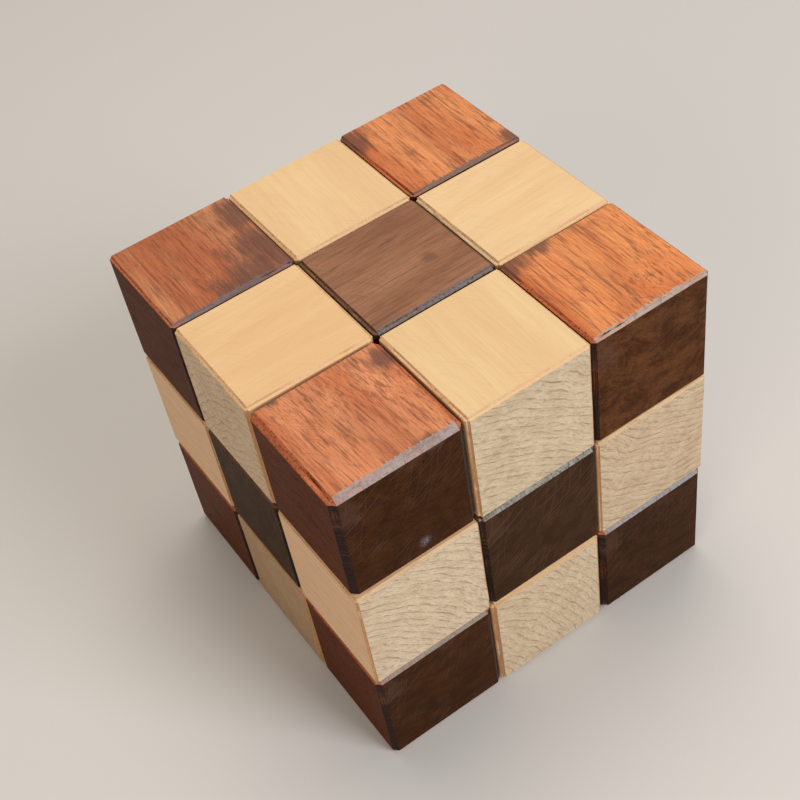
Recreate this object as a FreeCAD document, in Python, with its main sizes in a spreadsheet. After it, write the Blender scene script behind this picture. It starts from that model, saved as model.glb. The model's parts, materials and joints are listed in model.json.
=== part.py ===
"""Snake cube: 27 bevelled wooden cubelets on one elastic cord, folded up into a 3 x 3 x 3 cube.

Millimetres, +Z up, +X east, +Y north. The origin is the centre of the cube's bottom face.
The cord runs through every cubelet in turn. A cubelet is bored straight through where the chain
runs on, and bored from two faces to its middle where the chain turns. The two end cubelets have a
counterbore that holds the cord's knot behind a flush wooden peg.
"""

import FreeCAD, Part

import math
import os

import Sketcher
from FreeCAD import Placement, Rotation, Vector

DIMENSIONS = [
    ("pitch", 20.0, "from one cubelet's centre to the next one's"),
    ("side", 19.8, "a cubelet's side, which leaves a hairline gap to its neighbours"),
    ("bevel", 0.8, "how far each edge is cut back along both faces"),
    ("bore", 4.0, "diameter of the drilled hole for the cord"),
    ("cord", 2.6, "diameter of the elastic cord"),
    ("cord_gap", 0.3, "between the end of one span of cord and the next span's elbow"),
    ("counterbore", 6.4, "diameter of the hole for knot and peg"),
    ("counterbore_depth", 7.0, "from the face to the floor that the knot bears on"),
    ("knot_diameter", 5.6, "the cord's knot, pulled tight"),
    ("knot_length", 3.2, "along the cord"),
    ("knot_rounding", 0.7, "radius round both ends of the knot"),
    ("peg_length", 3.0, "wooden peg, flush with the face"),
    ("peg_lead_in", 0.4, "small chamfer at the peg's inner end"),
]

COMPASS = {
    "E": Vector(1, 0, 0),
    "W": Vector(-1, 0, 0),
    "N": Vector(0, 1, 0),
    "S": Vector(0, -1, 0),
    "U": Vector(0, 0, 1),
}
FIRST_CELL = Vector(1, -1, 0)
BOTTOM_LAYER_ROUTE = "WWNEENWW"
MIDDLE_LAYER_ROUTE = "SSENNESS"
TOP_LAYER_ROUTE = "NNWSSWNN"
ROUTE = "U".join([BOTTOM_LAYER_ROUTE, MIDDLE_LAYER_ROUTE, TOP_LAYER_ROUTE])

# The middle of the bottom layer stays put when the chain is stretched.
ROOT_NUMBER = 5

# A drilled hole counts as made when it takes out at least this share of its expected depth.
DRILLED_SHARE = 0.99

doc = FreeCAD.newDocument("snake_cube")
sheet = doc.addObject("Spreadsheet::Sheet", "Dimensions")
for row, (alias, size, meaning) in enumerate(DIMENSIONS, start=1):
    sheet.set(f"A{row}", alias)
    sheet.set(f"B{row}", str(size))
    sheet.set(f"C{row}", meaning)
    sheet.setAlias(f"B{row}", alias)
doc.recompute()

parts = []


def cells_along(route):
    """Grid cell of each cubelet: x and y from -1 to 1, z from 0 at the bottom to 2."""
    cells = [FIRST_CELL]
    for letter in route:
        cells.append(cells[-1] + COMPASS[letter])
    return cells


def place(thing, cell, rotation, along=None, offset="0"):
    """Put a sub-part's origin at a cubelet's centre, or offset from it along a direction."""
    thing.Placement = Placement(Vector(), rotation)
    shift = along or Vector()
    base = {"x": "0", "y": "0", "z": "Dimensions.side / 2"}
    for axis, start in base.items():
        steps = int(getattr(cell, axis))
        share = int(getattr(shift, axis))
        formula = f"{start} + Dimensions.pitch * ({steps}) + ({offset}) * ({share})"
        thing.setExpression(f"Placement.Base.{axis}", formula)


def new_body(label):
    body = doc.addObject("PartDesign::Body", label)
    body.Label = label
    parts.append(body)
    return body


def origin_plane(body, role):
    for feature in body.Origin.OriginFeatures:
        if feature.Role == role:
            return feature
    raise LookupError(role)


def new_sketch(body, name, role, height="0"):
    """Sketch on one of the body's own origin planes, or parallel to it at a height."""
    sketch = body.newObject("Sketcher::SketchObject", name)
    sketch.AttachmentSupport = [(origin_plane(body, role), "")]
    sketch.MapMode = "FlatFace"
    sketch.setExpression("AttachmentOffset.Base.z", height)
    return sketch


def draw_circle(sketch, diameter):
    """Circle round the sketch's origin, with its diameter bound to a cell."""
    circle = Part.Circle(Vector(), Vector(0, 0, 1), sheet.get(diameter) / 2)
    index = sketch.addGeometry(circle, False)
    sketch.addConstraint(Sketcher.Constraint("Coincident", index, 3, -1, 1))
    rule = sketch.addConstraint(Sketcher.Constraint("Diameter", index, sheet.get(diameter)))
    sketch.setExpression(f"Constraints[{rule}]", f"Dimensions.{diameter}")


def draw_square(sketch, side):
    """Square centred on the sketch's origin, with its side bound to a cell."""
    half = sheet.get(side) / 2
    corners = [
        Vector(-half, -half, 0),
        Vector(half, -half, 0),
        Vector(half, half, 0),
        Vector(-half, half, 0),
    ]
    for start, end in zip(corners, corners[1:] + corners[:1]):
        sketch.addGeometry(Part.LineSegment(start, end), False)
    for line in range(4):
        after = (line + 1) % 4
        sketch.addConstraint(Sketcher.Constraint("Coincident", line, 2, after, 1))
        direction = "Horizontal" if line % 2 == 0 else "Vertical"
        sketch.addConstraint(Sketcher.Constraint(direction, line))
    sketch.addConstraint(Sketcher.Constraint("Symmetric", 0, 1, 1, 2, -1, 1))
    for line, kind in ((0, "DistanceX"), (1, "DistanceY")):
        rule = sketch.addConstraint(Sketcher.Constraint(kind, line, 1, line, 2, 2 * half))
        sketch.setExpression(f"Constraints[{rule}]", f"Dimensions.{side}")


def add_block(body):
    """The bevelled cube, centred on the body's origin."""
    sketch = new_sketch(body, "square", "XY_Plane", "-Dimensions.side / 2")
    draw_square(sketch, "side")
    pad = body.newObject("PartDesign::Pad", "block")
    pad.Profile = sketch
    pad.setExpression("Length", "Dimensions.side")
    doc.recompute()
    bevel = body.newObject("PartDesign::Chamfer", "bevels")
    edges = [f"Edge{number}" for number in range(1, len(pad.Shape.Edges) + 1)]
    bevel.Base = (pad, edges)
    bevel.setExpression("Size", "Dimensions.bevel")
    doc.recompute()


def drill(body, name, role, start, diameter, depth):
    """Drill from start out of the block, against the normal of an origin plane.

    The YZ plane's holes leave through the -X face and the XZ plane's through the +Y face. The
    depth is how much of the hole's full section it has to take out of the wood.
    """
    volume_before = body.Shape.Volume
    sketch = new_sketch(body, f"{name}_circle", role, start)
    draw_circle(sketch, diameter)
    hole = body.newObject("PartDesign::Pocket", name)
    hole.Profile = sketch
    hole.Type = "ThroughAll"
    hole.Reversed = False
    doc.recompute()
    removed = volume_before - body.Shape.Volume
    section = math.pi * (sheet.get(diameter) / 2) ** 2
    if removed < section * depth * DRILLED_SHARE:
        raise ValueError(f"{body.Label}: {name} removes only {removed:.1f} mm3")


def add_straight_cubelet(label, cell, onward):
    """Cubelet that the chain runs straight through, along its own X."""
    body = new_body(label)
    add_block(body)
    drill(body, "bore", "YZ_Plane", "Dimensions.side / 2", "bore", sheet.side)
    place(body, cell, Rotation(Vector(1, 0, 0), onward))


def add_corner_cubelet(label, cell, onward, away):
    """Cubelet where the chain turns: it comes in through -X and leaves through +Y."""
    body = new_body(label)
    add_block(body)
    start = "Dimensions.bore / 2"
    drill(body, "bore_in", "YZ_Plane", start, "bore", sheet.side / 2)
    drill(body, "bore_out", "XZ_Plane", start, "bore", sheet.side / 2 - sheet.bore)
    up = onward.cross(away)
    place(body, cell, Rotation(onward, away, up, "XYZ"))


def add_end_cubelet(label, cell, inward):
    """Cubelet at an end of the chain: its +X faces its neighbour, -X has the counterbore."""
    body = new_body(label)
    add_block(body)
    drill(body, "bore", "YZ_Plane", "Dimensions.side / 2", "bore", sheet.side)
    floor = "-Dimensions.side / 2 + Dimensions.counterbore_depth"
    ring_share = 1 - (sheet.bore / sheet.counterbore) ** 2
    depth = sheet.counterbore_depth * ring_share
    drill(body, "counterbore", "YZ_Plane", floor, "counterbore", depth)
    place(body, cell, Rotation(Vector(1, 0, 0), inward))


def add_cord_rod(name, length, start):
    """Plain stretch of cord along Z."""
    rod = doc.addObject("Part::Cylinder", name)
    rod.setExpression("Radius", "Dimensions.cord / 2")
    rod.setExpression("Height", length)
    rod.setExpression("Placement.Base.z", start)
    return rod


def add_cord_span(label, cell, towards):
    """Cord from a cubelet's centre, with its rounded elbow, into the neighbour's bore."""
    reach = "Dimensions.pitch - Dimensions.cord / 2 - Dimensions.cord_gap"
    rod = add_cord_rod(f"{label}_rod", reach, "0")
    elbow = doc.addObject("Part::Sphere", f"{label}_elbow")
    elbow.setExpression("Radius", "Dimensions.cord / 2")
    span = doc.addObject("Part::Fuse", label)
    span.Base = rod
    span.Tool = elbow
    span.Refine = True
    span.Label = label
    place(span, cell, Rotation(Vector(0, 0, 1), towards))
    parts.append(span)


def add_end_span(label, cell, towards):
    """Cord at an end of the chain: it also runs back from the centre to the knot."""
    reach = "Dimensions.pitch - Dimensions.cord / 2 - Dimensions.cord_gap"
    tail = "Dimensions.side / 2 - Dimensions.counterbore_depth"
    span = add_cord_rod(label, f"{reach} + {tail}", "0")
    span.Label = label
    place(span, cell, Rotation(Vector(0, 0, 1), towards), towards, f"-({tail})")
    parts.append(span)


def add_root_span(label, cell, along):
    """Short middle piece of the cord, between the spans that reach in from both sides."""
    span = add_cord_rod(label, "Dimensions.cord", "0")
    span.Label = label
    place(span, cell, Rotation(Vector(0, 0, 1), along), along, "-Dimensions.cord / 2")
    parts.append(span)


def add_knot(label, cell, outward):
    """The cord's knot, drawn up into a rounded lump on the counterbore's floor."""
    body = new_body(label)
    sketch = new_sketch(body, "knot_circle", "XY_Plane")
    draw_circle(sketch, "knot_diameter")
    lump = body.newObject("PartDesign::Pad", "lump")
    lump.Profile = sketch
    lump.setExpression("Length", "Dimensions.knot_length")
    doc.recompute()
    rounding = body.newObject("PartDesign::Fillet", "rounding")
    rounding.Base = (lump, round_edges(lump.Shape))
    rounding.setExpression("Radius", "Dimensions.knot_rounding")
    floor = "Dimensions.side / 2 - Dimensions.counterbore_depth"
    place(body, cell, Rotation(Vector(0, 0, 1), outward), outward, floor)


def add_peg(label, cell, outward):
    """Round wooden peg pressed into the counterbore, flush with the cubelet's face."""
    body = new_body(label)
    sketch = new_sketch(body, "peg_circle", "XY_Plane")
    draw_circle(sketch, "counterbore")
    stem = body.newObject("PartDesign::Pad", "stem")
    stem.Profile = sketch
    stem.setExpression("Length", "Dimensions.peg_length")
    doc.recompute()
    lead_in = body.newObject("PartDesign::Chamfer", "lead_in")
    lead_in.Base = (stem, round_edges(stem.Shape)[:1])
    lead_in.setExpression("Size", "Dimensions.peg_lead_in")
    inner_end = "Dimensions.side / 2 - Dimensions.peg_length"
    place(body, cell, Rotation(Vector(0, 0, 1), outward), outward, inner_end)


def round_edges(shape):
    """Names of a shape's circular edges, the lowest first."""
    circles = []
    for number, edge in enumerate(shape.Edges, start=1):
        if isinstance(edge.Curve, Part.Circle):
            circles.append((edge.CenterOfMass.z, f"Edge{number}"))
    return [name for _, name in sorted(circles)]


def add_cubelet(number, cells, last):
    """One cubelet, bored for the way the chain comes in and the way it leaves."""
    label = f"cubelet_{number:02d}"
    cell = cells[number - 1]
    if number == 1:
        add_end_cubelet(label, cell, cells[1] - cell)
        return
    if number == last:
        add_end_cubelet(label, cell, cells[-2] - cell)
        return
    onward = cell - cells[number - 2]
    away = cells[number] - cell
    if onward.cross(away).Length == 0:
        add_straight_cubelet(label, cell, onward)
    else:
        add_corner_cubelet(label, cell, onward, away)


def add_cord(number, cells, last):
    """One cubelet's span of cord, which reaches towards the root of the chain."""
    label = f"elastic_{number:02d}"
    cell = cells[number - 1]
    if number == ROOT_NUMBER:
        add_root_span(label, cell, cells[number] - cell)
        return
    rootward = cells[number] if number < ROOT_NUMBER else cells[number - 2]
    towards = rootward - cell
    if number in (1, last):
        add_end_span(label, cell, towards)
    else:
        add_cord_span(label, cell, towards)


def check_document():
    """Stop if anything in the document failed or a sub-part has no sound solid."""
    for thing in doc.Objects:
        if "Invalid" in thing.State or "Error" in thing.State:
            raise ValueError(f"{thing.Label}: {thing.State}")
    for part in parts:
        shape = part.Shape
        if shape.isNull() or not shape.isValid() or len(shape.Solids) != 1:
            raise ValueError(f"{part.Label}: no sound solid")


def export_parts(folder):
    os.makedirs(folder, exist_ok=True)
    for part in parts:
        part.Shape.exportStep(os.path.join(folder, f"{part.Label}.step"))


cells = cells_along(ROUTE)
last = len(cells)
for number in range(1, last + 1):
    add_cubelet(number, cells, last)
    add_cord(number, cells, last)
for end_name, cell, neighbour in (
    ("start", cells[0], cells[1]),
    ("end", cells[-1], cells[-2]),
):
    outward = cell - neighbour
    add_knot(f"knot_{end_name}", cell, outward)
    add_peg(f"peg_{end_name}", cell, outward)

doc.recompute()
check_document()
export_parts("parts")
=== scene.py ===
"""Looks of a folded wooden snake cube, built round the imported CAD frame.

Every cubelet is a dense mesh with soft worn bevels, real bores and its own piece of wood. The
spans of elastic are braided, the knots are tied and the pegs are turned end-grain dowels.
"""

import json
import math

import bmesh
import bpy
import numpy as np
from mathutils import Euler, Matrix, Vector


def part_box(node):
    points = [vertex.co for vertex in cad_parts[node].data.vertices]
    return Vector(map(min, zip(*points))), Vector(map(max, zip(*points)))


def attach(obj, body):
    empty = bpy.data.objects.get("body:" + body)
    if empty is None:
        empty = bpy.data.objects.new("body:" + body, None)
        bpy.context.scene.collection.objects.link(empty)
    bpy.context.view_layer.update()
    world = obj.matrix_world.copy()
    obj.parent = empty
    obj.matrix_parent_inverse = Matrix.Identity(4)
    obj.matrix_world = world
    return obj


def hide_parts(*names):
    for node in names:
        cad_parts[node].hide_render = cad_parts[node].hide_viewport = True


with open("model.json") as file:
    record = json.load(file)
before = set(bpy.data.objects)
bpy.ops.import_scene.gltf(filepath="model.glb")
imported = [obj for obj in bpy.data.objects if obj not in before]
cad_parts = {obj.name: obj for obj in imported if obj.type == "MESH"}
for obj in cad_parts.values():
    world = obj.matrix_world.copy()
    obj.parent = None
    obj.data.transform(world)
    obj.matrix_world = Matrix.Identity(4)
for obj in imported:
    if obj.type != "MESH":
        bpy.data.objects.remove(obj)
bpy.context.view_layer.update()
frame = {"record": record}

MM = 0.001
CHAIN = 27

# ---------------------------------------------------------------- sizes, from the frame

record = frame["record"]
body_of_node = {}
for body_name, members in record["behaviour"]["bodies"].items():
    for member in members:
        body_of_node[member] = body_name
slot_of_node = {entry["node"]: entry["material_slot"] for entry in record["subparts"]}


def node_centre(node):
    low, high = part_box(node)
    return (Vector(low) + Vector(high)) / 2


def node_size(node):
    low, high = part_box(node)
    return Vector(high) - Vector(low)


def cubelet_node(number):
    return f"cubelet_{number:02d}"


centres = [node_centre(cubelet_node(number)) for number in range(1, CHAIN + 1)]
cube_centre = sum(centres, Vector()) / CHAIN
SIDE = node_size(cubelet_node(1)).x
PITCH = (centres[1] - centres[0]).length
CORD_RADIUS = node_size("elastic_02").y / 2
PEG_RADIUS = node_size("peg_start").y / 2
PEG_LENGTH = node_size("peg_start").x
KNOT_RADIUS = node_size("knot_start").y / 2
KNOT_LENGTH = node_size("knot_start").x
HALF = SIDE / 2

# The bores are inside the cubelets, where the frame's boxes don't show them.
BORE_RADIUS = 2.0 * MM
COUNTERBORE_DEPTH = 7.0 * MM

# How far the edges are cut back, in millimetres, by cubelet and otherwise by wood.
BEVELS = {
    "red_hardwood": 0.75,
    "walnut": 0.60,
    "maple": 0.55,
    (-1, -1, 1): 0.86,
    (-1, 1, 1): 0.50,
    (1, -1, 1): 0.54,
    (1, 1, 1): 0.50,
    (1, -1, -1): 0.84,
    (-1, -1, 0): 0.36,
    (1, -1, 0): 0.36,
    (0, -1, 1): 0.50,
    (0, -1, -1): 0.66,
    (0, 0, 1): 0.55,
}


def grid_cell(number):
    """Column, row and layer of a cubelet, each -1, 0 or 1."""
    offset = (centres[number - 1] - cube_centre) / PITCH
    return tuple(round(value) for value in offset)


def step(start, end):
    """Unit direction from one cubelet to another along the chain."""
    return (centres[end - 1] - centres[start - 1]).normalized()


# ---------------------------------------------------------------- camera and lights

# The camera stands about 11 cubelets away and is tilted a little about its own axis.
CAMERA_DISTANCE = 10.63 * PITCH
CAMERA_AZIMUTH = math.radians(-26.8)
CAMERA_ELEVATION = math.radians(46.61)
CAMERA_ROLL = math.radians(-10.83)
CAMERA_AIM_RIGHT = -0.155 * PITCH
CAMERA_AIM_UP = 0.069 * PITCH
SENSOR_WIDTH = 36.0
LENS = 62.8
CLIP_START = 0.01


def make_camera():
    """Camera that looks down at the cube's top, front and left faces."""
    forward = Vector((
        -math.sin(CAMERA_AZIMUTH) * math.cos(CAMERA_ELEVATION),
        math.cos(CAMERA_AZIMUTH) * math.cos(CAMERA_ELEVATION),
        -math.sin(CAMERA_ELEVATION),
    ))
    level = Vector((math.cos(CAMERA_AZIMUTH), math.sin(CAMERA_AZIMUTH), 0))
    above = level.cross(forward)
    right = level * math.cos(CAMERA_ROLL) + above * math.sin(CAMERA_ROLL)
    up = above * math.cos(CAMERA_ROLL) - level * math.sin(CAMERA_ROLL)
    camera = bpy.data.objects.new("camera", bpy.data.cameras.new("camera"))
    bpy.context.collection.objects.link(camera)
    camera.data.sensor_width = SENSOR_WIDTH
    camera.data.lens = LENS
    turn = Matrix((right, up, -forward)).transposed()
    aim = cube_centre + right * CAMERA_AIM_RIGHT + up * CAMERA_AIM_UP
    camera.matrix_world = Matrix.Translation(aim - forward * CAMERA_DISTANCE) @ turn.to_4x4()
    camera.data.clip_start = CLIP_START
    bpy.context.scene.camera = camera


# Soft boxes: name, place from the cube's centre in metres, size, power in watts and colour.
LIGHTS = (
    ("key", (0.10, 0.16, 0.62), 0.42, 2.6, (1.0, 0.90, 0.79)),
    ("fill", (0.21, -0.50, 0.41), 0.30, 2.75, (0.94, 0.96, 1.0)),
    ("side", (-0.52, -0.30, 0.34), 0.30, 1.25, (1.0, 0.84, 0.66)),
)
SKY_TONE = (0.80, 0.78, 0.76, 1)
SKY_STRENGTH = 0.26
FLOOR_TONE = (0.60, 0.59, 0.575, 1)
FLOOR_ROUGHNESS = 0.85
FLOOR_REACH = 3.0


def add_soft_box(name, place, size, power, colour):
    """Square area light that faces the cube."""
    light = bpy.data.lights.new(name, "AREA")
    light.shape = "SQUARE"
    light.size = size
    light.energy = power
    light.color = colour
    lamp = bpy.data.objects.new(name, light)
    lamp.location = cube_centre + Vector(place)
    lamp.rotation_euler = (-Vector(place)).to_track_quat("-Z", "Y").to_euler()
    bpy.context.collection.objects.link(lamp)


def make_sky():
    """Even, nearly neutral light from all round."""
    world = bpy.data.worlds.new("studio")
    world.use_nodes = True
    background = world.node_tree.nodes["Background"]
    background.inputs["Color"].default_value = SKY_TONE
    background.inputs["Strength"].default_value = SKY_STRENGTH
    bpy.context.scene.world = world
    bpy.context.scene.view_settings.view_transform = "Standard"


def make_floor():
    mesh = bpy.data.meshes.new("floor")
    corners = ((-1, -1), (1, -1), (1, 1), (-1, 1))
    vertices = [(x * FLOOR_REACH, y * FLOOR_REACH, 0) for x, y in corners]
    mesh.from_pydata(vertices, [], [(0, 1, 2, 3)])
    floor = bpy.data.objects.new("floor", mesh)
    bpy.context.collection.objects.link(floor)
    material = bpy.data.materials.new("floor")
    material.use_nodes = True
    shader = material.node_tree.nodes["Principled BSDF"]
    shader.inputs["Base Color"].default_value = FLOOR_TONE
    shader.inputs["Roughness"].default_value = FLOOR_ROUGHNESS
    mesh.materials.append(material)


def make_studio():
    """Warm soft light from above and from the left, a cooler one on the front right, pale floor."""
    for light in LIGHTS:
        add_soft_box(*light)
    make_sky()
    make_floor()


# ---------------------------------------------------------------- shader building blocks

def linear(red, green, blue):
    """Linear colour from 0-255 screen values."""
    def channel(value):
        value = value / 255
        return value / 12.92 if value <= 0.04045 else ((value + 0.055) / 1.055) ** 2.4
    return (channel(red), channel(green), channel(blue), 1)


class Shade:
    """Short way to write a material's nodes: an input may be a socket, a number or a colour."""

    def __init__(self, name):
        self.material = bpy.data.materials.new(name)
        self.material.use_nodes = True
        self.tree = self.material.node_tree
        self.shader = self.tree.nodes["Principled BSDF"]

    def put(self, socket, value):
        """Link a socket to an input, or set the input's value."""
        if isinstance(value, bpy.types.NodeSocket):
            self.tree.links.new(value, socket)
        else:
            socket.default_value = value

    def node(self, kind, inputs=None, **settings):
        """New node with its inputs linked or set."""
        node = self.tree.nodes.new(kind)
        for name, value in settings.items():
            setattr(node, name, value)
        for name, value in (inputs or {}).items():
            self.put(node.inputs[name], value)
        return node

    def math(self, operation, first, second=0.0):
        return self.node("ShaderNodeMath", {0: first, 1: second}, operation=operation).outputs[0]

    def vector(self, operation, first, second=(0, 0, 0)):
        return self.node("ShaderNodeVectorMath", {0: first, 1: second}, operation=operation)

    def steps(self, value, low, high, out_low=0.0, out_high=1.0):
        """Smooth step of a value between low and high."""
        inputs = {
            "Value": value,
            "From Min": low,
            "From Max": high,
            "To Min": out_low,
            "To Max": out_high,
        }
        node = self.node("ShaderNodeMapRange", inputs, interpolation_type="SMOOTHSTEP")
        return node.outputs["Result"]

    def noise(self, vector, scale, detail=2.0, roughness=0.5, distortion=0.0):
        inputs = {
            "Vector": vector,
            "Scale": scale,
            "Detail": detail,
            "Roughness": roughness,
            "Distortion": distortion,
        }
        return self.node("ShaderNodeTexNoise", inputs).outputs["Fac"]

    def stretch(self, vector, scale):
        return self.vector("MULTIPLY", vector, scale).outputs[0]

    def mix(self, factor, first, second, blend="MIX"):
        """Mix of two colours."""
        node = self.node("ShaderNodeMix", data_type="RGBA", blend_type=blend)
        self.put(node.inputs[0], factor)
        self.put(node.inputs[6], first)
        self.put(node.inputs[7], second)
        return node.outputs[2]

    def bump(self, height, strength, distance):
        inputs = {"Height": height, "Strength": strength, "Distance": distance}
        self.put(self.shader.inputs["Normal"], self.node("ShaderNodeBump", inputs).outputs[0])


# ---------------------------------------------------------------- woods

# Each wood: tones of its flat-sawn, quarter-sawn and end-grain faces, of its pores and streaks,
# of its bevels, and how strongly each kind of figure shows. The dark woods' quarter-sawn tone is
# partly the wood's own and partly painted shade, set far darker than the tops, which the overhead
# light makes shine. The wood's coordinates are in millimetres, so noise scales and stretches are
# in waves per millimetre.
WOODS = {
    "red_hardwood": {
        "light": linear(218, 146, 104),
        "dark": linear(192, 112, 76),
        # Partly painted shade: the quarter-sawn sides are set far darker than the tops, which the
        # overhead light makes shine.
        "quarter": linear(96, 44, 9),
        "end_light": linear(74, 44, 22),
        "end_dark": linear(60, 35, 16),
        "pore": linear(112, 72, 56),
        "end_pore": linear(34, 20, 14),
        "bevel": linear(196, 110, 76),
        "bevel_pore": linear(70, 38, 28),
        "pitted": 0.35,
        "teeth": 0.5,
        # Painted shade on the upright front bevels.
        "post_shade": linear(46, 34, 31),
        "ring_width": 3.1,
        "ring_share": 0.25,
        "fibre": (0.86, 1.08),
        "streaks": 0.64,
        "flecks": 0.35,
        "pores": 0.5,
        "dashes": 0.15,
        "stains": 0.80,
        "scratches": 0.40,
        "scratch": linear(120, 88, 70),
        "roughness": 0.42,
        "shine": 0.02,
        "bevel_share": 0.7,
        "bump": 0.5,
    },
    "walnut": {
        "light": linear(160, 116, 90),
        "dark": linear(142, 100, 76),
        # Partly painted shade: set far darker than the tops.
        "quarter": linear(66, 45, 32),
        "end_light": linear(72, 49, 31),
        "end_dark": linear(60, 40, 24),
        "pore": linear(84, 58, 44),
        "end_pore": linear(36, 24, 17),
        "bevel": linear(100, 78, 63),
        "bevel_pore": linear(40, 30, 25),
        "pitted": 1.0,
        "teeth": 0.3,
        # Painted shade on the upright front bevels.
        "post_shade": linear(42, 33, 29),
        "ring_width": 4.2,
        "ring_share": 0.30,
        "fibre": (0.86, 1.08),
        "streaks": 0.30,
        "flecks": 0.3,
        "pores": 0.35,
        "dashes": 0.15,
        "stains": 0.5,
        "scratches": 0.60,
        "scratch": linear(128, 88, 66),
        "roughness": 0.44,
        "shine": 0.02,
        "bevel_share": 0.75,
        "bump": 0.5,
    },
    "maple": {
        "light": linear(225, 195, 149),
        "dark": linear(220, 187, 141),
        "quarter": linear(234, 193, 152),
        "end_light": linear(222, 202, 172),
        "end_dark": linear(211, 188, 158),
        "pore": linear(212, 168, 122),
        "end_pore": linear(136, 108, 80),
        "bevel": linear(214, 170, 122),
        "bevel_pore": linear(168, 116, 72),
        "pitted": 0.25,
        "teeth": 0.15,
        # Painted shade on the upright front bevels.
        "post_shade": linear(192, 144, 98),
        "ring_width": 1.25,
        "ring_share": 0.20,
        "fibre": (0.96, 1.02),
        "streaks": 0.24,
        "flecks": 0.37,
        "pores": 0.15,
        "dashes": 0.55,
        "stains": 0.0,
        "scratches": 0.18,
        "scratch": linear(170, 140, 110),
        "roughness": 0.55,
        "shine": 0.2,
        "bevel_share": 0.5,
        "bump": 0.45,
    },
}

# Tone of the painted highlight on the bevels that face up and forwards, towards the fill light, by
# cubelet and otherwise by wood.
GLINTS = {
    "red_hardwood": linear(140, 134, 134),
    "walnut": linear(122, 118, 118),
    "maple": linear(216, 178, 132),
    (-1, -1, 1): linear(160, 152, 150),
    (-1, 1, 1): linear(106, 104, 110),
    (1, -1, 1): linear(172, 160, 150),
    (1, 1, 1): linear(118, 104, 100),
    (0, 0, 1): linear(116, 112, 114),
    (0, -1, 0): linear(162, 162, 156),
    (-1, -1, 0): linear(220, 194, 154),
    (1, -1, 0): linear(220, 194, 154),
    (1, -1, -1): linear(160, 166, 170),
    (-1, -1, -1): linear(156, 150, 144),
}

# How a cubelet was cut: the axis its grain runs along, and where the tree's heart lay, as an
# angle round the grain in degrees and a distance in millimetres.
DEFAULT_CUT = {"red_hardwood": ("y", 80, 60), "walnut": ("x", 60, 50), "maple": ("y", 250, 45)}
CUTS = {
    (-1, 0, 1): ("x", 238, 34),
    (1, 0, 1): ("x", 250, 60),
    (0, -1, 1): ("y", 240, 60),
    (0, 1, 1): ("y", 205, 30),
    (-1, -1, 0): ("y", 228, 46),
    (1, -1, 0): ("y", 62, 40),
    (-1, 1, 0): ("y", 300, 40),
    (1, 1, 0): ("z", 120, 40),
    (0, -1, -1): ("y", 215, 42),
    (-1, 0, -1): ("x", 280, 46),
    (1, 0, -1): ("x", 60, 40),
    (0, 0, 0): ("z", 30, 40),
    (0, 0, 1): ("x", 75, 42),
    (0, -1, 0): ("y", 130, 30),
    (-1, 0, 0): ("x", 40, 36),
    (1, 0, 0): ("z", 200, 36),
    (0, 1, 0): ("y", 320, 36),
    (0, 0, -1): ("x", 100, 36),
}
AXES = {"x": (0, 1, 2), "y": (1, 0, 2), "z": (2, 0, 1)}

# Pieces that are lighter, darker or redder than the rest of their wood.
TINTS = {
    (-1, 1, 1): (0.84, 0.88, 0.90),
    (1, -1, 1): (1.12, 1.06, 0.84),
    (1, 1, 1): (1.04, 1.0, 0.86),
    (1, -1, -1): (0.96, 0.98, 0.96),
    (0, -1, -1): (0.98, 0.96, 0.95),
    (0, -1, 1): (0.97, 0.98, 0.96),
    (-1, -1, 0): (1.03, 1.03, 1.05),
    (-1, 0, -1): (0.66, 0.54, 0.44),
    (1, -1, 0): (0.94, 0.90, 0.86),
    (-1, 0, 1): (0.98, 0.92, 0.88),
}

# End grain that differs from the rest of its wood: light and dark tone.
ENDS = {
    (1, -1, 1): (linear(100, 64, 40), linear(70, 40, 24)),
    (1, -1, -1): (linear(74, 46, 28), linear(58, 35, 20)),
}

# Small pale rub marks: where on the cubelet, from -1 to 1 each way, and how wide in millimetres.
SCUFFS = {
    (-1, -1, 1): [((0.16, -1, -0.70), 1.3)],
    (1, 1, 0): [((1, 0.3, 0.4), 1.2)],
    (0, 1, 0): [((-0.4, 1, -0.2), 1.5)],
}

# Dark handling stains and one small knot: where on the cubelet, from -1 to 1 each way, and how
# wide in millimetres.
STAINS = {
    (1, -1, 1): [((-0.9, 1.0, 1), 5.0), ((-0.4, 1.0, 1), 3.2)],
    (-1, 1, 1): [((1.0, 0.5, 1), 6.0), ((1.0, -0.5, 1), 9.5), ((0.4, -1.0, 1), 7.5)],
    (-1, -1, 1): [((0.85, 0.62, 1), 3.2), ((-0.7, 1.0, 1), 2.6), ((0.5, -1.0, 1), 2.4)],
    (1, 1, 1): [((-1.0, 0.7, 1), 5.0), ((0.9, -0.9, 1), 3.0)],
    (0, 0, 1): [((0.42, -0.22, 1), 1.5)],
}

BUMP_DEPTH = 0.06 * MM
STAIN_TONE = linear(98, 72, 64)
SCUFF_TONE = linear(150, 150, 164)

# Ways that bevels face: the top front edge, and the upright edges right and left of the front.
TOP_FRONT = (0, -0.707, 0.707)
RIGHT_POST = (0.707, -0.707, 0)
LEFT_POST = (-0.707, -0.707, 0)


def facing(shade, normal, direction):
    """Mask of the surfaces that face a direction squarely."""
    share = shade.vector("DOT_PRODUCT", normal, direction).outputs["Value"]
    return shade.steps(share, 0.86, 0.97)


def distance_to(shade, local, place):
    """Millimetres to a place on the cubelet that is given from -1 to 1 each way."""
    spot = tuple(value * HALF / MM for value in place)
    return shade.vector("DISTANCE", local, spot).outputs["Value"]


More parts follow.
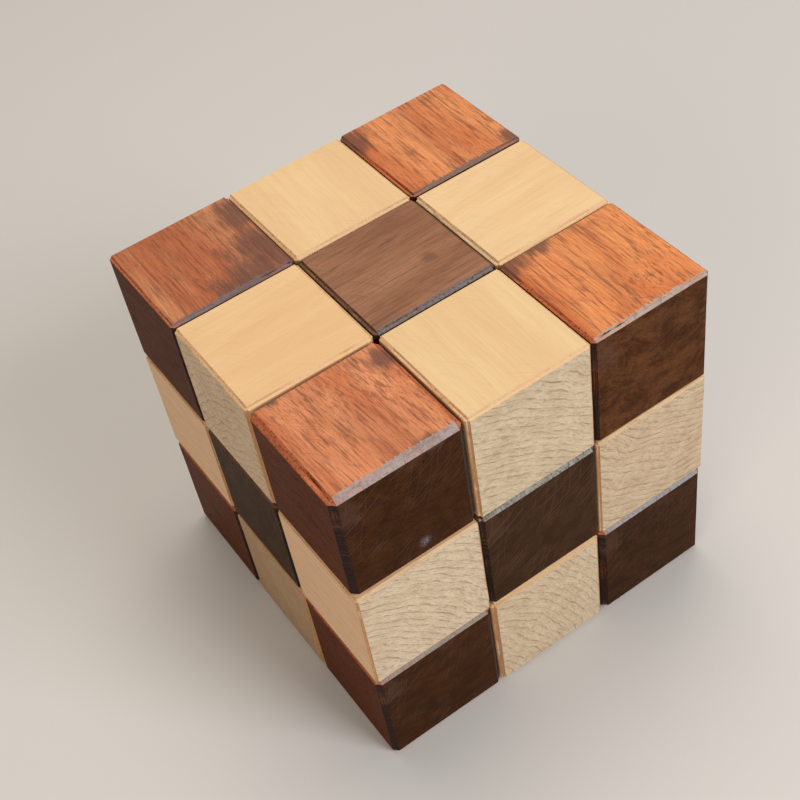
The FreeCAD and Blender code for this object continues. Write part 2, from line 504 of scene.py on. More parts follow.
def timber_space(shade, local, cut, random):
    """Place in the cubelet with the grain first, and place in the tree it was cut from."""
    grain, heart_angle, heart_distance = cut
    parts = shade.node("ShaderNodeSeparateXYZ", {"Vector": local}).outputs
    along, across, rise = (parts[index] for index in AXES[grain])
    timber = shade.node("ShaderNodeCombineXYZ", {"X": along, "Y": across, "Z": rise}).outputs[0]
    tilt = [math.radians(random.uniform(-3, 3)) for _ in range(2)]
    tree = shade.node("ShaderNodeMapping", {"Vector": timber})
    tree.inputs["Rotation"].default_value = (math.radians(180 - heart_angle), tilt[0], tilt[1])
    tree.inputs["Location"].default_value = (random.uniform(-900, 900), heart_distance, 0)
    return timber, tree.outputs[0]


def growth_rings(shade, tree, ring_width):
    """Place in the tree with the slightly wavy ring radius second, and masks of the rings."""
    radius = shade.vector("LENGTH", shade.stretch(tree, (0, 1, 1))).outputs["Value"]
    wave = shade.noise(shade.stretch(tree, (0.03, 0.12, 0.12)), 1.0, 2.0)
    radius = shade.math("ADD", radius, shade.math("MULTIPLY", wave, 3.2))
    phase = shade.math("FRACT", shade.math("DIVIDE", radius, ring_width))
    late_wood = shade.math("POWER", phase, 3.0)
    late_wood = shade.math("MULTIPLY", late_wood, shade.steps(phase, 1.0, 0.93))
    ring_line = shade.math("ABSOLUTE", shade.math("SUBTRACT", phase, 0.88))
    ring_line = shade.steps(ring_line, 0.13, 0.02)
    sides = shade.node("ShaderNodeSeparateXYZ", {"Vector": tree}).outputs
    rings = shade.node("ShaderNodeCombineXYZ", {"X": sides[0], "Y": radius, "Z": sides[2]})
    return rings.outputs[0], late_wood, ring_line


def bare_wood(shade, wood, cell, rings, end_grain, quarter):
    """Slow drift of tone and fibres on the long grain, mottling on the end grain."""
    drift = shade.noise(shade.stretch(rings, (0.035, 0.22, 0.22)), 1.0, 3.0)
    body = shade.mix(shade.steps(drift, 0.34, 0.66), wood["light"], wood["dark"])
    # The quarter tone of the dark woods is partly painted shade on their sides.
    body = shade.mix(quarter, body, wood["quarter"])
    end_light, end_dark = ENDS.get(cell, (wood["end_light"], wood["end_dark"]))
    mottle = shade.noise(shade.stretch(rings, (0.05, 0.34, 0.30)), 1.0, 4.0, 0.65, 0.5)
    end = shade.mix(shade.steps(mottle, 0.36, 0.66), end_light, end_dark)
    tone = shade.mix(end_grain, body, end)
    fibre = shade.noise(shade.stretch(rings, (0.12, 4.2, 4.2)), 1.0, 3.0, 0.6)
    tone = shade.mix(1.0, tone, shade.steps(fibre, 0.30, 0.72, *wood["fibre"]), "MULTIPLY")
    tone = shade.mix(1.0, tone, (*TINTS.get(cell, (1, 1, 1)), 1), "MULTIPLY")
    return tone, fibre


def figure_masks(shade, wood, rings, ring_line, end_grain):
    """Masks of the streaks along the grain, the flecks, the dashes in the rings and the pores."""
    long_grain = shade.math("SUBTRACT", 1.0, end_grain)
    streaks = shade.noise(shade.stretch(rings, (0.11, 3.3, 2.4)), 1.0, 4.0, 0.66, 0.2)
    streaks = shade.math("MULTIPLY", shade.steps(streaks, 0.49, 0.64), long_grain)
    streaks = shade.math("MULTIPLY", streaks, wood["streaks"])
    flecks = shade.noise(shade.stretch(rings, (2.5, 5.2, 0.95)), 1.0, 3.0, 0.6, 0.3)
    flecks = shade.math("MULTIPLY", shade.steps(flecks, 0.50, 0.62), wood["flecks"])
    flecks = shade.math("MULTIPLY", flecks, shade.steps(end_grain, 0, 1, 0.08, 1))
    dashes = shade.noise(shade.stretch(rings, (0.3, 0.9, 0.5)), 1.0, 3.0, 0.7)
    dashes = shade.math("MULTIPLY", shade.steps(dashes, 0.44, 0.6), ring_line)
    dashes = shade.math("MULTIPLY", shade.math("MULTIPLY", dashes, end_grain), wood["dashes"])
    pores = shade.noise(shade.stretch(rings, (0.38, 6.5, 6.5)), 1.0, 2.0, 0.6)
    pores = shade.math("MULTIPLY", shade.steps(pores, 0.56, 0.66), wood["pores"])
    return streaks, flecks, dashes, pores


def bevel_masks(shade, wood, bevel_width, normal, widest, local, grit):
    """Masks of all bevels, of the upright front ones that get painted shade, and of the painted
    highlight on the bevels that face the lights.
    """
    ragged = shade.math("MULTIPLY", shade.math("SUBTRACT", grit, 0.5), 0.3)
    bevel = shade.steps(shade.math("ADD", widest, ragged), 0.97, 0.85)
    # The upright front bevels get painted shade.
    right_post = facing(shade, normal, RIGHT_POST)
    left_post = facing(shade, normal, LEFT_POST)
    post_shade = shade.math("MULTIPLY", shade.math("MAXIMUM", left_post, right_post), bevel)
    # A faint painted highlight on the upright bevels right of the front.
    side_glint = shade.math("MULTIPLY", right_post, 0.12)
    glint = shade.math("MAXIMUM", facing(shade, normal, TOP_FRONT), side_glint)
    glint = shade.math("MULTIPLY", glint, bevel)

    # The painted highlight band runs on over the top face in short teeth along the grain.
    teeth = shade.noise(shade.stretch(local, (2.4, 0.35, 1.0)), 1.0, 3.0, 0.6)
    teeth = shade.steps(teeth, 0.44, 0.68, -0.05, wood["teeth"])
    depth = shade.node("ShaderNodeSeparateXYZ", {"Vector": local}).outputs[1]
    glint_spill = shade.math("SUBTRACT", shade.math("ADD", depth, HALF / MM), teeth)
    glint_spill = shade.steps(glint_spill, bevel_width + 0.08, bevel_width - 0.04)
    upward = shade.vector("DOT_PRODUCT", normal, (0, 0, 1)).outputs["Value"]
    glint_spill = shade.math("MULTIPLY", glint_spill, shade.steps(upward, 0.9, 0.97))
    return bevel, post_shade, shade.math("MAXIMUM", glint, glint_spill)


def paint_bevels(shade, wood, tone, glint_tone, timber, grit, masks):
    """Rubbed, porous bevels: painted shade on the upright ones, a painted pale highlight on those
    at the top front.
    """
    bevel, post_shade, glint = masks
    worn = shade.math("MULTIPLY", bevel, shade.steps(grit, 0.3, 0.6, 0.45, 1.0))
    tone = shade.mix(shade.math("MULTIPLY", worn, wood["bevel_share"]), tone, wood["bevel"])
    # Painted shade: the upright front bevels are painted dark.
    tone = shade.mix(post_shade, tone, wood["post_shade"])
    speckle = shade.steps(shade.noise(timber, 1.1, 5.0, 0.72), 0.36, 0.58, 0.5, 1.0)
    # Painted highlight: a pale, speckled tone on the bevels that face the lights.
    tone = shade.mix(shade.math("MULTIPLY", glint, speckle), tone, glint_tone)
    open_pore = shade.steps(shade.noise(timber, 3.2, 2.0, 0.6), 0.54, 0.62)
    open_pore = shade.math("MULTIPLY", shade.math("MULTIPLY", open_pore, bevel), 0.6)
    open_pore = shade.math("MULTIPLY", open_pore, shade.steps(glint, 0, 1, 1.0, wood["pitted"]))
    return shade.mix(open_pore, tone, wood["bevel_pore"])


def stain_mask(shade, cell, local, rings):
    """Faint patches everywhere, and the darker stains listed for this cubelet."""
    patch = shade.noise(local, 0.16, 3.0, 0.6)
    stain = shade.math("MULTIPLY", shade.steps(patch, 0.58, 0.74), 0.5)
    for place, width in STAINS.get(cell, []):
        uneven = shade.noise(shade.stretch(rings, (0.14, 0.8, 0.8)), 1.0, 4.0, 0.7)
        uneven = shade.math("MULTIPLY", uneven, width * 1.8)
        uneven = shade.math("SUBTRACT", uneven, width * 0.9)
        away = shade.math("ADD", distance_to(shade, local, place), uneven)
        stain = shade.math("MAXIMUM", stain, shade.steps(away, width, width * 0.35))
    return stain


def wood_material(name, kind, centre, cell, seed):
    """One cubelet's own piece of wood: rings, fibres, pores, stains, scratches and worn bevels,
    with a painted highlight on the top front bevels and painted shade on the upright front bevels
    and, in part, on the dark woods' quarter-sawn sides.
    """
    wood = WOODS[kind]
    cut = CUTS.get(cell, DEFAULT_CUT[kind])
    random = np.random.default_rng(seed)
    shade = Shade(name)
    coordinates = shade.node("ShaderNodeTexCoord")
    normal = coordinates.outputs["Normal"]

    # Millimetres from the cubelet's centre.
    local = shade.vector("SUBTRACT", coordinates.outputs["Object"], tuple(centre)).outputs[0]
    local = shade.stretch(local, (1 / MM, 1 / MM, 1 / MM))
    timber, tree = timber_space(shade, local, cut, random)
    rings, late_wood, ring_line = growth_rings(shade, tree, wood["ring_width"])
    grit = shade.noise(timber, 6.0, 3.0, 0.6)

    # Which way the surface faces: across the grain, along the rings, or a bevel.
    absolute = shade.vector("ABSOLUTE", normal).outputs[0]
    faces = shade.node("ShaderNodeSeparateXYZ", {"Vector": absolute}).outputs
    grain_face, quarter_face, _ = (faces[index] for index in AXES[cut[0]])
    end_grain = shade.steps(grain_face, 0.5, 0.85)
    quarter = shade.steps(quarter_face, 0.5, 0.9)
    widest = shade.math("MAXIMUM", shade.math("MAXIMUM", faces[0], faces[1]), faces[2])
    bevel_width = BEVELS.get(cell, BEVELS[kind])
    masks = bevel_masks(shade, wood, bevel_width, normal, widest, local, grit)
    bevel, _, glint = masks

    tone, fibre = bare_wood(shade, wood, cell, rings, end_grain, quarter)
    streaks, flecks, dashes, pores = figure_masks(shade, wood, rings, ring_line, end_grain)
    pore_tone = shade.mix(end_grain, wood["pore"], wood["end_pore"])
    pore_tone = shade.mix(quarter, pore_tone, wood["end_pore"])
    late_wood = shade.math("MULTIPLY", late_wood, wood["ring_share"])
    for mark in (late_wood, streaks, flecks, dashes, pores):
        tone = shade.mix(mark, tone, pore_tone)
    glint_tone = GLINTS.get(cell, GLINTS[kind])
    tone = paint_bevels(shade, wood, tone, glint_tone, timber, grit, masks)

    stain = shade.math("MULTIPLY", stain_mask(shade, cell, local, rings), wood["stains"])
    stain = shade.math("MULTIPLY", stain, shade.steps(glint, 0, 1, 1.0, 0.3))
    tone = shade.mix(stain, tone, STAIN_TONE)
    for place, width in SCUFFS.get(cell, []):
        away = distance_to(shade, local, place)
        mark = shade.math("MULTIPLY", shade.steps(away, width, 0), shade.steps(grit, 0.44, 0.58))
        tone = shade.mix(shade.math("MULTIPLY", mark, 0.7), tone, SCUFF_TONE)
    scratch = shade.math("MULTIPLY", add_scratches(shade, local, random), wood["scratches"])
    tone = shade.mix(scratch, tone, wood["scratch"])

    shade.put(shade.shader.inputs["Base Color"], tone)
    gloss = shade.steps(pores, 0, 1, wood["roughness"], wood["roughness"] + 0.3)
    gloss = shade.math("ADD", gloss, shade.steps(grit, 0.3, 0.7, -0.05, 0.08))
    gloss = shade.math("SUBTRACT", gloss, shade.math("MULTIPLY", bevel, 0.08))
    shade.put(shade.shader.inputs["Roughness"], gloss)
    shade.shader.inputs["Specular IOR Level"].default_value = wood["shine"]

    height = shade.math("MULTIPLY", fibre, 0.35)
    for mark, depth in ((pores, 0.6), (streaks, 0.3), (flecks, 0.5), (scratch, 1.0)):
        height = shade.math("SUBTRACT", height, shade.math("MULTIPLY", mark, depth))
    height = shade.math("ADD", height, shade.math("MULTIPLY", grit, 0.25))
    shade.bump(height, wood["bump"], BUMP_DEPTH)
    return shade.material


def add_scratches(shade, local, random):
    """Two families of long thin broken lines, gently bent."""
    bend = shade.math("MULTIPLY", shade.noise(local, 0.06, 1.0), 5.0)
    broken = shade.steps(shade.noise(local, 0.15, 3.0, 0.6), 0.38, 0.56)
    total = 0.0
    for spacing, angle, share in (
        (0.75, random.uniform(26, 42), 1.0),
        (1.3, random.uniform(70, 115), 0.6),
    ):
        lean = math.radians(angle)
        side = Vector((-math.sin(lean), -0.8 * math.sin(lean), math.cos(lean))) / spacing
        place = shade.vector("DOT_PRODUCT", local, tuple(side)).outputs["Value"]
        place = shade.math("ADD", place, bend)
        chance = shade.node(
            "ShaderNodeTexWhiteNoise",
            {"W": shade.math("FLOOR", place)},
            noise_dimensions="1D",
        ).outputs["Value"]
        offset = shade.math("SUBTRACT", shade.math("FRACT", place), chance)
        line = shade.steps(shade.math("ABSOLUTE", offset), 0.07 / spacing, 0.0)
        line = shade.math("MULTIPLY", line, shade.steps(chance, 0.1, 0.9, 0.25, share))
        total = shade.math("MAXIMUM", total, shade.math("MULTIPLY", line, broken))
    return total


# ---------------------------------------------------------------- cubelet meshes

FACE_CELLS = 36
BEVEL_CELLS = 4
CELLS = FACE_CELLS + 2 * BEVEL_CELLS
MIDDLE = CELLS // 2
CELL_WIDTH = 2 * (HALF - BEVELS["walnut"] * MM) / FACE_CELLS
BORE_CELLS = 4
PEG_HOLE_CELLS = 7
BLEND_CELLS = 9
BEVEL_POWER = 1.12
MOUTH_FLARE = 0.22 * MM
PEG_FLARE = 0.10 * MM
EDGE_WEAR = 0.055 * MM
EDGE_ROUGHNESS = 0.022 * MM
FACE_WAVE = 0.012 * MM
DENTS = 26
DENT_WIDTHS = (0.25, 0.75)
DENT_DEPTHS = (0.03, 0.16)
TINY = 1e-9
SHARP_ANGLE = math.radians(22)


def grid_line(bevel):
    """Positions of the grid lines across a cubelet, closer together in the bevels."""
    flat = HALF - bevel
    near = np.linspace(-HALF, -flat, BEVEL_CELLS + 1)[:-1]
    middle = np.linspace(-flat, flat, FACE_CELLS + 1)
    far = np.linspace(flat, HALF, BEVEL_CELLS + 1)[1:]
    return np.concatenate([near, middle, far])


def surface_grid():
    """Vertices of a cube's surface grid by lattice place, and its faces with side and cell."""
    numbers = -np.ones((CELLS + 1,) * 3, dtype=int)
    inside = np.zeros_like(numbers, dtype=bool)
    inside[1:-1, 1:-1, 1:-1] = True
    places = np.argwhere(~inside)
    numbers[tuple(places.T)] = np.arange(len(places))
    quads, sides = [], []
    first, second = np.meshgrid(np.arange(CELLS), np.arange(CELLS), indexing="ij")
    first, second = first.ravel(), second.ravel()
    for axis in range(3):
        for sign in (-1, 1):
            level = CELLS if sign > 0 else 0
            corners = []
            for step_first, step_second in ((0, 0), (1, 0), (1, 1), (0, 1)):
                place = [None] * 3
                place[axis] = np.full_like(first, level)
                place[(axis + 1) % 3] = first + step_first
                place[(axis + 2) % 3] = second + step_second
                corners.append(numbers[tuple(place)])
            if sign < 0:
                corners.reverse()
            quads.append(np.stack(corners, axis=1))
            sides.append(np.stack([np.full_like(first, axis), np.full_like(first, sign),
                                   first, second], axis=1))
    return numbers, places, np.concatenate(quads), np.concatenate(sides)


GRID_NUMBERS, GRID_PLACES, GRID_QUADS, GRID_SIDES = surface_grid()


def axis_and_sign(direction):
    axis = max(range(3), key=lambda index: abs(direction[index]))
    return axis, (1 if direction[axis] > 0 else -1)


def soft_waves(points, random, length, count=10):
    """Smooth random field between about -1 and 1 whose waves are about length long."""
    total = np.zeros(len(points))
    for _ in range(count):
        direction = random.normal(size=3)
        direction /= np.linalg.norm(direction)
        wave = 2 * math.pi / (length * random.uniform(0.7, 1.5))
        total += np.sin(points @ direction * wave + random.uniform(0, 2 * math.pi))
    return total / math.sqrt(count)


def ring_steps(half_cells):
    """Grid steps round a square ring, as offsets from the middle of a face."""
    size = half_cells
    ring = [(size, step_up) for step_up in range(-size, size)]
    ring += [(-step_left, size) for step_left in range(-size, size)]
    ring += [(-size, -step_down) for step_down in range(-size, size)]
    ring += [(step_right, -size) for step_right in range(-size, size)]
    return ring


def open_hole(points, axis, sign, radius, half_cells):
    """Turn the square ring of grid lines round a face's middle into a circle."""
    level = CELLS if sign > 0 else 0
    on_face = GRID_PLACES[:, axis] == level
    across = [(axis + 1) % 3, (axis + 2) % 3]
    flat = points[:, across]
    square = np.abs(flat).max(axis=1)
    inner = half_cells * CELL_WIDTH
    outer = inner + BLEND_CELLS * CELL_WIDTH
    chosen = on_face & (square <= outer) & (square >= inner - TINY)
    flat = flat[chosen]
    square = square[chosen]
    length = np.maximum(np.linalg.norm(flat, axis=1), TINY)
    round_flat = flat / length[:, None] * (radius + square - inner)[:, None]
    blend = ((square - inner) / (outer - inner))[:, None]
    blend = blend * blend * (3 - 2 * blend)
    moved = round_flat * (1 - blend) + flat * blend
    for column, index in enumerate(across):
        points[chosen, index] = moved[:, column]


def bevel_and_wear(points, bevel, random):
    """Soft bevels on all edges, a little uneven, with small dents and gently waved faces."""
    flat = HALF - bevel
    core = np.clip(points, -flat, flat)
    out = points - core
    reach = (np.abs(out / bevel) ** BEVEL_POWER).sum(axis=1) ** (1 / BEVEL_POWER)
    out /= np.maximum(reach, TINY)[:, None]
    points = core + out
    depth = np.abs(out).max(axis=1) / bevel
    on_bevel = np.clip((1 - depth) / 0.4, 0, 1)
    on_bevel = on_bevel * on_bevel * (3 - 2 * on_bevel)
    inward = -out / np.maximum(np.linalg.norm(out, axis=1), TINY)[:, None]

    wear = EDGE_WEAR * (1 + soft_waves(points, random, 9 * MM))
    wear += EDGE_ROUGHNESS * np.abs(soft_waves(points, random, 1.3 * MM, 14))
    for _ in range(DENTS):
        edge_axis = random.integers(3)
        spot = random.choice([-1.0, 1.0], size=3) * (HALF - 0.45 * bevel)
        spot[edge_axis] = random.uniform(-HALF, HALF)
        width = random.uniform(*DENT_WIDTHS) * MM
        depth = random.uniform(*DENT_DEPTHS) * MM
        distance = ((points - spot) ** 2).sum(axis=1)
        wear += depth * np.exp(-distance / (2 * width * width))
    points = points + inward * (wear * on_bevel)[:, None]

    face_wave = FACE_WAVE * (1 + soft_waves(points, random, 16 * MM))
    points = points + inward * (face_wave * (1 - on_bevel))[:, None]
    return points


def unit_vector(axis):
    return Vector([1.0 if index == axis else 0.0 for index in range(3)])


def straight_rings(first, radius, angles, is_end):
    """Rings of points along a bore that runs straight through, with the peg's hole at its end."""
    axis, _ = axis_and_sign(first)
    across = unit_vector((axis + 1) % 3)
    upward = unit_vector((axis + 2) % 3)
    stations = [(HALF - MOUTH_FLARE, radius)]
    stations += [(HALF * share, radius) for share in (0.7, 0.4, 0.1, -0.2)]
    if is_end:
        floor = COUNTERBORE_DEPTH - HALF
        stations += [(floor, radius), (floor, PEG_RADIUS)]
        radius = PEG_RADIUS
    stations += [(-HALF * 0.6, radius), (MOUTH_FLARE - HALF, radius)]
    rings = []
    for depth, size in stations:
        rings.append([
            first * depth + across * (size * math.cos(turn)) + upward * (size * math.sin(turn))
            for turn in angles
        ])
    return rings


def corner_rings(first, second, radius, angles):
    """Rings of points along a bore that turns a mitred corner in the middle of its cubelet."""
    upward = unit_vector(3 - axis_and_sign(first)[0] - axis_and_sign(second)[0])
    rings = []
    for leg, other, shares in (
        (first, second, (1.0, 0.75, 0.5, 0.25, 0.0)),
        (second, first, (0.25, 0.5, 0.75, 1.0)),
    ):
        for share in shares:
            row = []
            for turn in angles:
                mitre = radius * math.cos(turn)
                depth = mitre + (HALF - MOUTH_FLARE - mitre) * share
                row.append(leg * depth + other * mitre + upward * (radius * math.sin(turn)))
            rings.append(row)
    return rings


def tunnel_rings(directions, radius, ring, is_end):
    """Rings of points along a cubelet's bore, from its first face to its second."""
    angles = [math.atan2(up, across) for across, up in ring]
    first, second = directions
    if axis_and_sign(first)[0] == axis_and_sign(second)[0]:
        return straight_rings(first, radius, angles, is_end)
    return corner_rings(first, second, radius, angles)


def ring_vertices(directions, ring):
    """Grid vertices round the two mouths of a bore, in the same order as its rings."""
    axis_one, sign_one = axis_and_sign(directions[0])
    axis_two, sign_two = axis_and_sign(directions[1])
    mouths = []
    for axis, sign, other_axis, other_sign in (
        (axis_one, sign_one, axis_two, sign_two),
        (axis_two, sign_two, axis_one, sign_one),
    ):
        row = []
        for across, up in ring:
            place = [MIDDLE] * 3
            place[axis] = CELLS if sign > 0 else 0
            if other_axis == axis:
                place[(axis + 1) % 3] += across
                place[(axis + 2) % 3] += up
            else:
                place[other_axis] += other_sign * across
                place[3 - axis - other_axis] += up
            row.append(GRID_NUMBERS[tuple(place)])
        mouths.append(row)
    return mouths


def cubelet_mesh(name, bevel, directions, is_end, random):
    """One bevelled, bored cubelet round its own centre."""
    points = grid_line(bevel)[GRID_PLACES]
    half_cells = PEG_HOLE_CELLS if is_end else BORE_CELLS
    keep = np.ones(len(GRID_QUADS), dtype=bool)
    radii = [BORE_RADIUS, PEG_RADIUS if is_end else BORE_RADIUS]
    for direction, radius in zip(directions, radii):
        axis, sign = axis_and_sign(direction)
        flare = PEG_FLARE if radius == PEG_RADIUS else MOUTH_FLARE
        open_hole(points, axis, sign, radius + flare, half_cells)
        block = (GRID_SIDES[:, 0] == axis) & (GRID_SIDES[:, 1] == sign)
        for column in (2, 3):
            block &= GRID_SIDES[:, column] >= MIDDLE - half_cells
            block &= GRID_SIDES[:, column] < MIDDLE + half_cells
        keep &= ~block
    points = bevel_and_wear(points, bevel, random)

    ring = ring_steps(half_cells)
    mouths = ring_vertices(directions, ring)
    rings = tunnel_rings(directions, BORE_RADIUS, ring, is_end)
    vertices = [tuple(point) for point in points]
    rows = [mouths[0]]
    for row in rings:
        start = len(vertices)
        vertices += [tuple(point) for point in row]
        rows.append(list(range(start, start + len(row))))
    rows.append(mouths[1])
    faces = [tuple(quad) for quad in GRID_QUADS[keep].tolist()]
    for near, far in zip(rows, rows[1:]):
        for index in range(len(ring)):
            after = (index + 1) % len(ring)
            faces.append((near[index], near[after], far[after], far[index]))
    return closed_mesh(name, vertices, faces)


def closed_mesh(name, vertices, faces):
    """Mesh with loose vertices dropped, normals outwards and smooth shading."""
    used = sorted({index for face in faces for index in face})
    renumber = {old: new for new, old in enumerate(used)}
    vertices = [tuple(vertices[index]) for index in used]
    faces = [tuple(renumber[index] for index in face) for face in faces]
    mesh = bpy.data.meshes.new(name)
    mesh.from_pydata(vertices, [], faces)
    work = bmesh.new()
    work.from_mesh(mesh)
    bmesh.ops.recalc_face_normals(work, faces=work.faces)
    work.to_mesh(mesh)
    work.free()
    mesh.polygons.foreach_set("use_smooth", [True] * len(mesh.polygons))
    mesh.set_sharp_from_angle(angle=SHARP_ANGLE)
    return mesh


def add_piece(name, mesh, node, material):
    """Put a finished mesh in the scene in place of a CAD node."""
    piece = bpy.data.objects.new(name, mesh)
    bpy.context.collection.objects.link(piece)
    mesh.materials.append(material)
    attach(piece, body_of_node[node])
    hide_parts(node)


WEAR_SEED = 1000
BEVEL_SPREAD = (0.95, 1.05)
LARGEST_TILT = 0.10
LARGEST_SHIFT = 0.035


def add_cubelet(number):
    """A cubelet with its bores where the chain needs them, its own wood and a hair out of line."""
    node = cubelet_node(number)
    random = np.random.default_rng(WEAR_SEED + number)
    is_end = number in (1, CHAIN)
    if number == 1:
        directions = [step(1, 2), -step(1, 2)]
    elif number == CHAIN:
        directions = [step(CHAIN, CHAIN - 1), -step(CHAIN, CHAIN - 1)]
    else:
        directions = [step(number, number - 1), step(number, number + 1)]
    kind = slot_of_node[node]
    cell = grid_cell(number)
    bevel = BEVELS.get(cell, BEVELS[kind]) * random.uniform(*BEVEL_SPREAD)
    mesh = cubelet_mesh(f"{node}_wood", bevel * MM, directions, is_end, random)
    tilt = [math.radians(random.uniform(-LARGEST_TILT, LARGEST_TILT)) for _ in range(3)]
    shift = Vector([random.uniform(-LARGEST_SHIFT, LARGEST_SHIFT) * MM for _ in range(3)])
    centre = centres[number - 1]
    mesh.transform(Matrix.Translation(centre + shift) @ Euler(tilt).to_matrix().to_4x4())
    material = wood_material(f"{kind}_{number:02d}", kind, centre, cell, number)
    add_piece(f"{node}_wood", mesh, node, material)


# ---------------------------------------------------------------- cord, knots and pegs

STRANDS = 8
BRAID_LAY = 3.4 * MM
CORD_SIDES = 32
CORD_RING_SPACING = 0.25 * MM
CORD_FEWEST_STEPS = 8
CORD_END_SHARE = 0.98
CORD_TIP_SHARE = 0.02
KNOT_STRAND_RADIUS = 0.95 * MM
KNOT_SIDES = 20
KNOT_RINGS = 120
PEG_SIDES = 72
PEG_PLAY = 0.03 * MM
PEG_UNEVENNESS = 0.004
PEG_SEEDS = {"start": 7, "end": 8}

# A peg's outline: how far along its length, from -0.5 inside to 0.5 outside, and how much of its
# radius. Its outer rim is eased, and its outer face is faintly crowned.
PEG_PROFILE = (
    *((-0.5, share) for share in (0.25, 0.5, 0.75, 0.9)),
    (-0.46, 0.97), (-0.42, 1.0),
    *((level, 1.0) for level in (-0.2, 0.0, 0.2, 0.4, 0.46)),
    (0.485, 0.985), (0.495, 0.96),
    *((0.497, share) for share in (0.9, 0.8, 0.65, 0.5, 0.35, 0.2)),
)


def cord_material(name):
    """Black braided sleeve over rubber, with a faint sheen and lint."""
    shade = Shade(name)
    place = shade.node("ShaderNodeTexCoord").outputs["Object"]
    weave = shade.noise(place, 4200, 2.0, 0.6)
    lint = shade.noise(place, 900, 3.0, 0.6)
    tone = shade.mix(shade.steps(weave, 0.35, 0.65), linear(22, 22, 24), linear(52, 50, 50))
    tone = shade.mix(shade.steps(lint, 0.62, 0.78, 0, 0.5), tone, linear(110, 104, 96))
    shade.put(shade.shader.inputs["Base Color"], tone)
    shade.put(shade.shader.inputs["Roughness"], shade.steps(weave, 0.3, 0.7, 0.65, 0.85))
    shade.shader.inputs["Sheen Weight"].default_value = 0.25
    shade.bump(weave, 0.5, 0.05 * MM)
    return shade.material


def braid(turn, distance, radius):
    """Radius of a braided sleeve: strands that cross over and under each other."""
    climb = 2 * math.pi * distance / BRAID_LAY
    left = math.sin(STRANDS * turn / 2 + climb * 2)
    right = math.sin(STRANDS * turn / 2 - climb * 2)
    return radius * (0.90 + 0.10 * max(abs(left), abs(right)) ** 0.7)


def band_faces(rows, around, closed=False):
    """Faces between rings of points, each ring with the same number of points."""
    faces = []
    for row in range(rows if closed else rows - 1):
        following = (row + 1) % rows
        for spot in range(around):
            after = (spot + 1) % around
            faces.append((
                row * around + spot,
                row * around + after,
                following * around + after,
                following * around + spot,
            ))
    return faces


def end_caps(rows, around):
    """One face over the first ring of points and one over the last."""
    last_row = (rows - 1) * around
    return [tuple(range(around)), tuple(last_row + spot for spot in range(around))]


def sweep(points, radius, around, closed=False):
    """Rings of points of a braided tube along a line, one ring after another."""
    vertices = []
    count = len(points)
    distance = 0.0
    side = None
    for index, point in enumerate(points):
        before = points[index - 1] if index or closed else point
        after = points[(index + 1) % count] if index + 1 < count or closed else point
        forward = (after - before).normalized()
        if side is None:
            side = forward.orthogonal().normalized()
        side = (side - forward * side.dot(forward)).normalized()
        up = forward.cross(side)
        if index:
            distance += (point - points[index - 1]).length
        for spot in range(around):
            turn = 2 * math.pi * spot / around
            size = braid(turn, distance, radius)
            vertices.append(point + side * (size * math.cos(turn)) + up * (size * math.sin(turn)))
    return vertices


def add_cord_span(number, material):
    """One cubelet's span of braided elastic, from its elbow into the next bore."""
    node = f"elastic_{number:02d}"
    centre = node_centre(node)
    size = node_size(node)
    own = centres[number - 1]
    axis = max(range(3), key=lambda index: size[index])
    length = size[axis]
    along = unit_vector(axis) * (1.0 if centre[axis] >= own[axis] else -1.0)
    start = centre - along * length / 2
    steps = max(CORD_FEWEST_STEPS, round(length / CORD_RING_SPACING))
    distances = [length * index / steps for index in range(steps + 1)]
    points = [start + along * distance for distance in distances]
    vertices = sweep(points, CORD_RADIUS, CORD_SIDES)

    # The ends are rounded off.
    cap = CORD_RADIUS * CORD_END_SHARE
    for row, (point, distance) in enumerate(zip(points, distances)):
        edge = min(distance, length - distance)
        share = math.sqrt(max(0.0, 1 - (1 - min(edge / cap, 1)) ** 2))
        for spot in range(row * CORD_SIDES, (row + 1) * CORD_SIDES):
            vertices[spot] = point + (vertices[spot] - point) * max(share, CORD_TIP_SHARE)
    faces = band_faces(steps + 1, CORD_SIDES) + end_caps(steps + 1, CORD_SIDES)
    mesh = closed_mesh(f"{node}_braid", vertices, faces)
    add_piece(f"{node}_braid", mesh, node, material)


def shortest_axis(size):
    return min(range(3), key=lambda index: size[index])


def add_knot(end_name, material):
    """The cord's overhand knot, pulled tight behind the peg."""
    node = f"knot_{end_name}"
    centre = node_centre(node)
    axis = shortest_axis(node_size(node))
    spread = (KNOT_RADIUS - KNOT_STRAND_RADIUS) / 3.0
    lift = KNOT_LENGTH / 2 - KNOT_STRAND_RADIUS
    points = []
    for index in range(KNOT_RINGS):
        turn = 2 * math.pi * index / KNOT_RINGS
        local = Vector((0, 0, 0))
        local[axis] = -math.sin(3 * turn) * lift
        local[(axis + 1) % 3] = (math.sin(turn) + 2 * math.sin(2 * turn)) * spread
        local[(axis + 2) % 3] = (math.cos(turn) - 2 * math.cos(2 * turn)) * spread
        points.append(centre + local)
    vertices = sweep(points, KNOT_STRAND_RADIUS, KNOT_SIDES, closed=True)
    faces = band_faces(KNOT_RINGS, KNOT_SIDES, closed=True)
    mesh = closed_mesh(f"{node}_tied", vertices, faces)
    add_piece(f"{node}_tied", mesh, node, material)


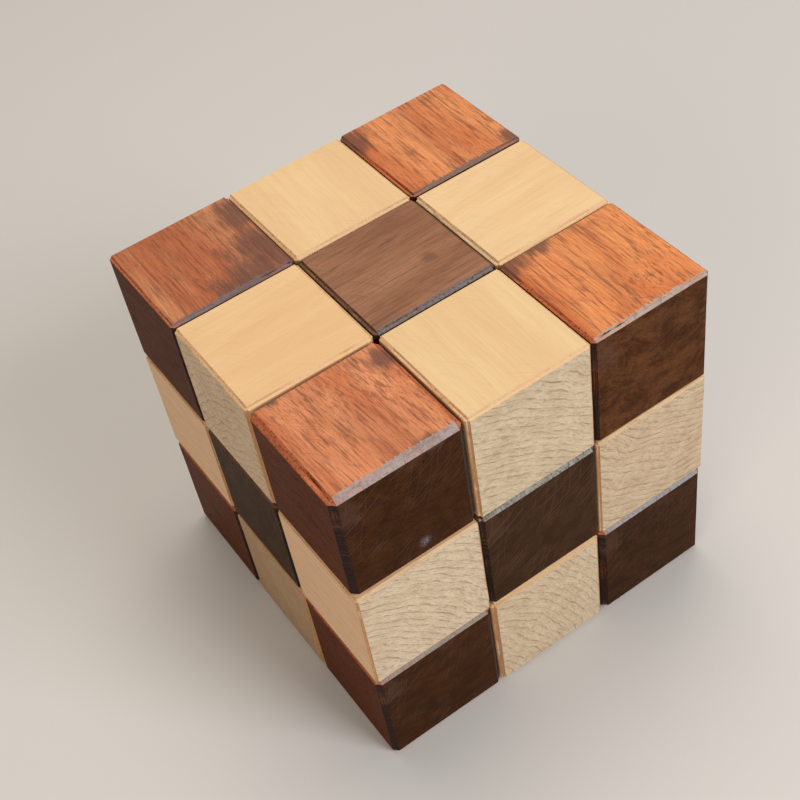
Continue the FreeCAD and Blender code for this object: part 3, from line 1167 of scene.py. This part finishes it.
def peg_material(name, centre, axis):
    """End grain of a dowel: fine rings round an off-centre heart, with open pores."""
    shade = Shade(name)
    place = shade.node("ShaderNodeTexCoord").outputs["Object"]
    heart = Vector(centre)
    heart[(axis + 1) % 3] += 6.5 * MM
    heart[(axis + 2) % 3] -= 3.0 * MM
    local = shade.vector("SUBTRACT", place, tuple(heart)).outputs[0]
    flat = [1 / MM] * 3
    flat[axis] = 0.1 / MM
    local = shade.stretch(local, tuple(flat))
    radius = shade.vector("LENGTH", local).outputs["Value"]
    radius = shade.math("ADD", radius, shade.noise(local, 0.7, 2.0))
    phase = shade.math("FRACT", shade.math("MULTIPLY", radius, 1.3))
    pore = shade.noise(local, 5.5, 1.5)
    tone = shade.mix(shade.math("POWER", phase, 3.0), linear(128, 86, 58), linear(84, 52, 36))
    tone = shade.mix(shade.steps(pore, 0.58, 0.66), tone, linear(44, 28, 22))
    shade.put(shade.shader.inputs["Base Color"], tone)
    shade.put(shade.shader.inputs["Roughness"], shade.steps(pore, 0.5, 0.7, 0.42, 0.7))
    shade.bump(shade.math("SUBTRACT", 1.0, pore), 0.4, BUMP_DEPTH)
    return shade.material


def add_peg(end_name):
    """Dowel peg, sanded flush, with a hairline round it and a faintly crowned face."""
    node = f"peg_{end_name}"
    centre = node_centre(node)
    axis = shortest_axis(node_size(node))
    across, up = (axis + 1) % 3, (axis + 2) % 3
    outward = unit_vector(axis) * (1.0 if centre[axis] > cube_centre[axis] else -1.0)
    random = np.random.default_rng(PEG_SEEDS[end_name])
    radius = PEG_RADIUS - PEG_PLAY
    vertices = []
    for level, share in PEG_PROFILE:
        for spot in range(PEG_SIDES):
            turn = 2 * math.pi * spot / PEG_SIDES
            wave = PEG_UNEVENNESS * math.sin(5 * turn + random.uniform(0, 0.2))
            reach = radius * share * (1 + wave)
            point = centre + outward * (PEG_LENGTH * level)
            point[across] += reach * math.cos(turn)
            point[up] += reach * math.sin(turn)
            vertices.append(point)
    faces = band_faces(len(PEG_PROFILE), PEG_SIDES) + end_caps(len(PEG_PROFILE), PEG_SIDES)
    mesh = closed_mesh(f"{node}_dowel", vertices, faces)
    add_piece(f"{node}_dowel", mesh, node, peg_material(f"dowel_{end_name}", centre, axis))


# ---------------------------------------------------------------- the whole

make_camera()
make_studio()
for number in range(1, CHAIN + 1):
    add_cubelet(number)
braided = cord_material("braided_elastic")
for number in range(1, CHAIN + 1):
    add_cord_span(number, braided)
for end_name in ("start", "end"):
    add_knot(end_name, braided)
    add_peg(end_name)
